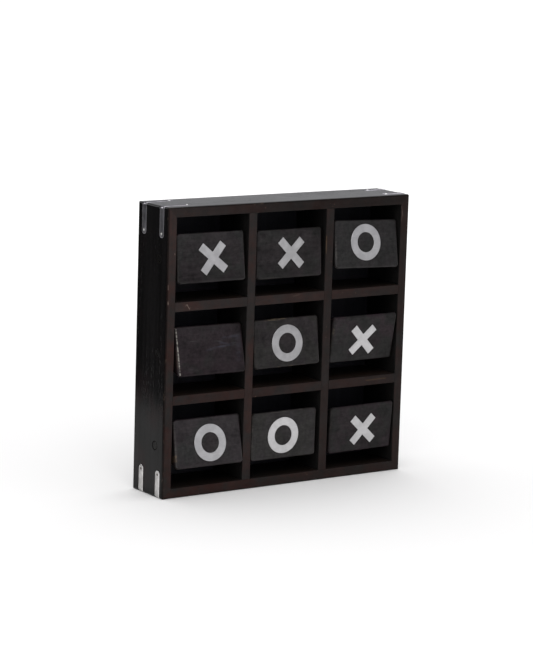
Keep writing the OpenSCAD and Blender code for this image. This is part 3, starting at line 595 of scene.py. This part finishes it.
assign("frame_left", case_wood("case wood left", "z", 2.0, outer_rough=0.125, outer_spec=0.088, front_spec=0.185, scratches=left_marks))
assign("frame_right", case_wood("case wood right", "z", 3.0, outer_rough=0.16, outer_spec=0.16, front_spec=0.165, scratches=right_marks, arris=0.95))
assign("frame_top", case_wood("case wood top", "x", 4.0, outer_rough=0.30, outer_spec=0.31, front_spec=0.134, red=(0.0150, 0.0060, 0.0046)))
assign("frame_bottom", case_wood("case wood bottom", "x", 5.0, outer_rough=0.30, outer_spec=0.20, front_spec=0.165))
assign("divider_vertical_left", case_wood("divider wood left", "z", 6.0, front_spec=0.195))
assign("divider_vertical_right", case_wood("divider wood right", "z", 7.0, front_spec=0.175, red=(0.0165, 0.0060, 0.0044), scratches=divider_marks))
assign("divider_horizontal_upper", case_wood("divider wood upper", "x", 8.0, front_spec=0.218, left_sheen_fall=(0.66, 1.0), scratches=scratch, red=(0.0225, 0.0064, 0.0040), inner=(0.0145, 0.0088, 0.0066)))
assign("divider_horizontal_lower", case_wood("divider wood lower", "x", 9.0, front_spec=0.172, inner=(0.0165, 0.0096, 0.0070), scratches=low_scratch))
assign("back_panel", plain_wood("panel wood", "z", 31.0, (0.0066, 0.0062, 0.0098), (0.0135, 0.0127, 0.0180), rough=0.50, spec=0.20, outer=True))
for i, r in enumerate(ROWS):
    lo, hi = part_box(f"axle_{r}")
    assign(f"axle_{r}", plain_wood(f"dowel wood {r}", "x", 41.0 + i, (0.0050, 0.0036, 0.0030), (0.0120, 0.0085, 0.0066), rough=0.42, spec=0.20,
                                   end_axis=((lo.y + hi.y) / 2, (lo.z + hi.z) / 2)))

# the gold and brown tones are rubbed wood; the pale grey and near-white tones are painted highlights for glints along
# the block rims
GOLD, GLINT_PALE, BROWN, GLINT_WHITE = (0.16, 0.125, 0.080), (0.12, 0.11, 0.10), (0.050, 0.032, 0.020), (0.26, 0.245, 0.22)
BLUE, MILK = (0.0215, 0.0205, 0.0310), (0.0240, 0.0215, 0.0225)
FIGURE = [((-0.0040, 0.0020), (0.0290, 0.0068), 0.0020, 0.75, BLUE), ((0.0100, 0.0098), (0.0260, 0.0050), 0.0017, 0.70, BLUE),
          ((0.0150, 0.0128), (0.0350, 0.0150), 0.0024, 0.55, BLUE), ((-0.0280, 0.0124), (-0.0160, 0.0122), 0.0009, 0.80, MILK),
          ((0.0060, 0.0110), (0.0140, 0.0100), 0.0010, 0.60, MILK), ((0.0325, -0.0120), (0.0345, 0.0150), 0.0050, 0.40, BLUE),
          ((-0.0330, -0.0180), (-0.0180, -0.0190), 0.0035, 0.35, MILK), ((-0.0130, 0.0035), (-0.0070, 0.0050), 0.0011, 0.50, MILK)]
LOOK = {
    ("top", "left"): dict(plum=0.40, spec=0.280, upward=0.28, lines=1.0),
    ("top", "centre"): dict(plum=0.32, spec=0.234, across=-0.12, upward=0.13, lines=1.2),
    ("top", "right"): dict(plum=0.22, spec=0.297, across=-0.08, upward=0.04, wear_and_glints=[("left rim", -1.0, 0.1, 0.22, GLINT_PALE)]),
    ("middle", "left"): dict(plum=0.62, spec=0.214, spread=(0.26, 0.50), wisps=FIGURE, across=-0.06, upward=0.16, wear_and_glints=[("left rub", -1.20, 1.80, 0.95, GLINT_WHITE), ("left rub", -1.50, -1.31, 0.85, GLINT_WHITE), ("left end", -1.0, 0.2, 0.40, BROWN)]),
    ("middle", "centre"): dict(plum=0.35, warm=0.45, spec=0.266, across=-0.04, upward=-0.04, wear_and_glints=[("upper", -0.66, 0.0, 0.42, GOLD), ("lower", 0.02, 0.14, 0.55, GOLD), ("lower", -0.30, -0.24, 0.40, GOLD)]),
    ("middle", "right"): dict(plum=0.62, spec=0.184, across=-0.15, wear_and_glints=[("left rim", 0.62, 1.0, 0.22, GOLD)]),
    ("bottom", "left"): dict(plum=0.50, spec=0.352, across=0.08, upward=0.05, spread=(0.38, 0.56), wear_and_glints=[("left rim", -1.0, 1.0, 0.20, GLINT_PALE), ("left end", -1.1, -0.72, 0.55, (0.11, 0.066, 0.030))]),
    ("bottom", "centre"): dict(plum=0.28, warm=0.50, spec=0.300, across=-0.06, upward=-0.08, wear_and_glints=[("upper", -0.45, 0.55, 0.14, GLINT_PALE), ("left rim", -1.0, 0.9, 0.15, GLINT_PALE)]),
    ("bottom", "right"): dict(plum=0.55, spec=0.185, across=-0.14),
}
# painted light: the shown mark of each block is made brighter or darker than the general metal to stand for how the
# light falls on it
SHEEN = {("top", "left"): 1.10, ("top", "centre"): 1.0, ("top", "right"): 1.0, ("middle", "centre"): 0.91, ("bottom", "left"): 1.07, ("bottom", "centre"): 1.12}
for i, r in enumerate(ROWS):
    for j, c in enumerate(COLS):
        s = 50.0 + 7.0 * i + 2.3 * j
        assign(f"block_{r}_{c}", block_wood(f"block wood {r} {c}", block_facts(r, c), s, **LOOK[(r, c)]))
        k = SHEEN.get((r, c), 1.0)
        alu = (0.50 * k, 0.495 * k, 0.50 * k)
        assign(f"x_inlay_{r}_{c}", metal(f"inlay metal x {r} {c}", alu, 0.34, s + 0.7, "x"))
        assign(f"o_inlay_{r}_{c}", metal(f"inlay metal o {r} {c}", alu, 0.34, s + 1.4, "x"))


def nail_points():
    """Middles of the separate nails, from the loose parts of the nail mesh."""
    o = NODES["strip_nails"]
    bm = bmesh.new()
    bm.from_mesh(o.data)
    bmesh.ops.remove_doubles(bm, verts=bm.verts, dist=1e-6)
    left, out = set(bm.verts), []
    while left:
        stack, part = [left.pop()], []
        while stack:
            v = stack.pop()
            part.append(v.co.copy())
            for e in v.link_edges:
                w = e.other_vert(v)
                if w in left:
                    left.remove(w)
                    stack.append(w)
        lo = Vector([min(p[i] for p in part) for i in range(3)])
        hi = Vector([max(p[i] for p in part) for i in range(3)])
        out.append((lo, hi))
    bm.free()
    heads = []
    for lo, hi in out:
        m = (lo + hi) / 2
        if hi.x - lo.x > hi.z - lo.z:       # a nail driven in from the side
            heads.append(Vector((hi.x if m.x > 0 else lo.x, m.y, m.z)))
        else:
            heads.append(Vector((m.x, m.y, hi.z if m.z > case_hi.z / 2 else lo.z)))
    return heads


HEADS = nail_points()
for k, corner in enumerate(("top_left", "top_right", "bottom_left", "bottom_right")):
    for i, where in enumerate(("front", "back")):
        n = f"strip_{corner}_{where}"
        lo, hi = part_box(n)
        yc, hw = (lo.y + hi.y) / 2, (hi.y - lo.y) / 2
        zc, zs = (lo.z + hw, -1.0) if "top" in corner else (hi.z - hw, 1.0)
        xc, xs = (hi.x - hw, 1.0) if "left" in corner else (lo.x + hw, -1.0)
        near = [h for h in HEADS if lo.x - 0.002 < h.x < hi.x + 0.002 and lo.y < h.y < hi.y and lo.z - 0.002 < h.z < hi.z + 0.002]
        # painted light: the left strips' metal is darkened at the top and brightened at the bottom to stand for how
        # the light falls on them
        strip_light = {"top_left_front": 0.66, "top_left_back": 0.63, "bottom_left_front": 1.08, "bottom_left_back": 1.06}.get(f"{corner}_{where}", 1.0)
        hue = (0.62, 0.602, 0.640) if "top" in corner else (0.625, 0.613, 0.605)
        assign(n, metal(f"strip metal {corner} {where}", tuple(c * strip_light for c in hue), 0.33, 80.0 + 3 * k + i, "z", dull=0.5, pits=0.6,
                        grazing=0.25, strip=(yc, hw, zc, zs, xc, xs), nails=near, roll=1.0 if "top" in corner else 0.45))
nail_mat = metal("nail steel", (0.80, 0.79, 0.77), 0.30, 97.0, dull=0.6)
t = Tree(nail_mat.node_tree)
shader = next(n for n in nail_mat.node_tree.nodes if n.type == "BSDF_PRINCIPLED")
was = shader.inputs["Base Color"].links[0].from_socket
# painted shade: nails low on the case get a dark brown head
low_nail_shade = t.ramp(t.sep(t.coords())[2], 0.20, 0.12)
t.put(shader.inputs["Base Color"], t.mix(low_nail_shade, was, (0.085, 0.068, 0.058)))
assign("strip_nails", nail_mat)
assign("panel_pins", metal("pin steel", (0.30, 0.285, 0.26), 0.42, 98.0, dull=0.6))

STRIP_BOXES = [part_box(n) for n in NODES if n.startswith("strip_") and n != "strip_nails"]
AXLES = [((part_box(f"axle_{r}")[0].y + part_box(f"axle_{r}")[1].y) / 2, (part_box(f"axle_{r}")[0].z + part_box(f"axle_{r}")[1].z) / 2) for r in ROWS]


def off_nails(p):
    return all((p - h).length > 0.0024 for h in HEADS)


def off_fittings(p):
    """Away from the nails, the strip recesses and the dowel holes."""
    if any(lo.x - 0.0004 < p.x < hi.x + 0.0004 and lo.y - 0.0004 < p.y < hi.y + 0.0004 and lo.z - 0.0004 < p.z < hi.z + 0.0004 for lo, hi in STRIP_BOXES):
        return False
    return all(math.hypot(p.y - y, p.z - z) > 0.0062 for y, z in AXLES) and off_nails(p)


for n, o in NODES.items():
    for p in o.data.polygons:
        p.use_smooth = True
    if "inlay" in n:
        soften(o, 0.00022, 2, lambda p: True)
    elif n.startswith("strip_") and n != "strip_nails":
        soften(o, 0.00028, 2, off_nails)
    elif n.startswith(("frame_", "divider_")):
        soften(o, 0.00014, 2, off_fittings)
    elif n.startswith("axle_"):
        soften(o, 0.0005, 3, lambda p: True)
    elif n == "strip_nails":
        soften(o, 0, 0, lambda p: True)
    else:
        soften(o, 0, 0, lambda p: False)
    ws = o.modifiers.new("normals", "WEIGHTED_NORMAL")
    ws.keep_sharp = True


# ---------------------------------------------------------------- stage
def plane(name, x0, y0, x1, y1, z):
    me = bpy.data.meshes.new(name)
    me.from_pydata([(x0, y0, z), (x1, y0, z), (x1, y1, z), (x0, y1, z)], [], [(0, 1, 2, 3)])
    o = bpy.data.objects.new(name, me)
    scene.collection.objects.link(o)
    return o


floor = plane("floor", -40, -40, 40, 40, CAD_BOX[0][2] - 0.00005)
m = bpy.data.materials.new("pale floor")
m.use_nodes = True
m.node_tree.nodes.clear()
t = Tree(m.node_tree)
out = t.node("ShaderNodeOutputMaterial")
diff = t.node("ShaderNodeBsdfDiffuse")
diff.inputs[0].default_value = (0.90, 0.897, 0.893, 1)
dark = t.node("ShaderNodeBsdfDiffuse")
dark.inputs[0].default_value = (0.062, 0.062, 0.064, 1)
lp = t.node("ShaderNodeLightPath")
pos = t.node("ShaderNodeNewGeometry").outputs["Position"]
px, py, pz = t.sep(pos)
dist = t.vec("LENGTH", pos)
# in reflections only: the sweep falls into shade on the left, and dims with distance
beyond = t.mx(t.ramp(px, -0.355, -0.425), t.mul(t.ramp(dist, 1.3, 3.2), 0.42))
mixs = t.node("ShaderNodeMixShader")
t.link(t.mul(lp.outputs["Is Glossy Ray"], beyond), mixs.inputs[0])
t.link(diff.outputs[0], mixs.inputs[1])
t.link(dark.outputs[0], mixs.inputs[2])
# far away the sweep is lit to the same white as the backdrop
glow = t.node("ShaderNodeEmission")
glow.inputs[0].default_value = (1, 1, 1, 1)
t.put(glow.inputs[1], t.mul(t.mul(lp.outputs["Is Camera Ray"], t.ramp(dist, 0.35, 2.2)), 0.30))
addn = t.node("ShaderNodeAddShader")
t.link(mixs.outputs[0], addn.inputs[0])
t.link(glow.outputs[0], addn.inputs[1])
t.link(addn.outputs[0], out.inputs[0])
floor.data.materials.append(m)

world = bpy.data.worlds.new("studio")
scene.world = world
world.use_nodes = True
world.node_tree.nodes.clear()
t = Tree(world.node_tree)
out = t.node("ShaderNodeOutputWorld")
bg = t.node("ShaderNodeBackground")
lp = t.node("ShaderNodeLightPath")
direction = t.vec("NORMALIZE", t.node("ShaderNodeTexCoord").outputs["Generated"])
dx, dy, dz = t.sep(direction)
left_back = t.ramp(t.vec("DOT_PRODUCT", direction, (-0.78, 0.62, 0.0)), 0.35, 0.80)
low = t.ramp(dz, 0.03, 0.22)
up = t.ramp(dz, 0.2, 0.8)
base = t.mix(low, (0.52, 0.52, 0.545), (0.72, 0.72, 0.745))
base = t.mix(up, base, (0.80, 0.80, 0.82))
refl = t.mix(left_back, base, (0.068, 0.068, 0.072))
# a tall soft window low on the left, seen in reflections only
az_left = t.vec("DOT_PRODUCT", direction, (-0.90, -0.42, 0.12))
window = t.mul(t.mul(t.ramp(az_left, 0.90, 0.95), t.ramp(dz, -0.02, 0.03)), t.ramp(dz, 0.42, 0.34))
refl = t.mix(window, refl, (2.6, 2.6, 2.65))
spark = t.ramp(t.vec("DOT_PRODUCT", direction, (-0.501, 0.812, 0.301)), 0.972, 0.990)
refl = t.mix(spark, refl, (4.5, 4.5, 4.55))
col = t.mix(lp.outputs["Is Glossy Ray"], (0.92, 0.92, 0.93), refl)
col = t.mix(lp.outputs["Is Camera Ray"], col, (1.0, 1.0, 1.0))
t.put(bg.inputs[0], col)
bg.inputs[1].default_value = 1.0
t.link(bg.outputs[0], out.inputs[0])


def area(name, loc, target, size, power, colour=(1, 1, 1), size_y=None):
    d = bpy.data.lights.new(name, "AREA")
    d.shape = "RECTANGLE"
    d.size = size
    d.size_y = size_y or size
    d.energy = power
    d.color = colour
    o = bpy.data.objects.new(name, d)
    scene.collection.objects.link(o)
    o.location = loc
    o.rotation_euler = (Vector(target) - Vector(loc)).to_track_quat("-Z", "Y").to_euler()
    return o


area("key softbox", (-1.1, -1.7, 2.2), (0, 0, 0.15), 1.5, 14, (1.0, 0.985, 0.97))
area("top softbox", (0.5, 0.6, 2.4), (0, 0, 0.1), 1.8, 12, (1.0, 1.0, 1.0))


# ---------------------------------------------------------------- camera
def camera():
    az, el, roll = math.radians(-34.42), math.radians(10.16), math.radians(1.74)
    back = Vector((math.sin(az) * math.cos(el), -math.cos(az) * math.cos(el), math.sin(el)))
    mid_z = (case_lo.z + case_hi.z) / 2
    target = Vector((-0.02804, FRONT, mid_z + 0.01364))
    loc = target + back * 2.66435
    right = (-back).cross(Vector((0, 0, 1))).normalized()
    up = right.cross(-back).normalized()
    r2 = right * math.cos(roll) + up * math.sin(roll)
    u2 = up * math.cos(roll) - right * math.sin(roll)
    d = bpy.data.cameras.new("camera")
    d.sensor_fit = "VERTICAL"
    d.sensor_height = 36.0
    d.lens = 2584.12 * 36.0 / 666.0
    d.clip_end = 200.0
    o = bpy.data.objects.new("camera", d)
    scene.collection.objects.link(o)
    rot = Matrix((r2, u2, back)).transposed()
    o.matrix_world = Matrix.Translation(loc) @ rot.to_4x4()
    scene.camera = o


camera()
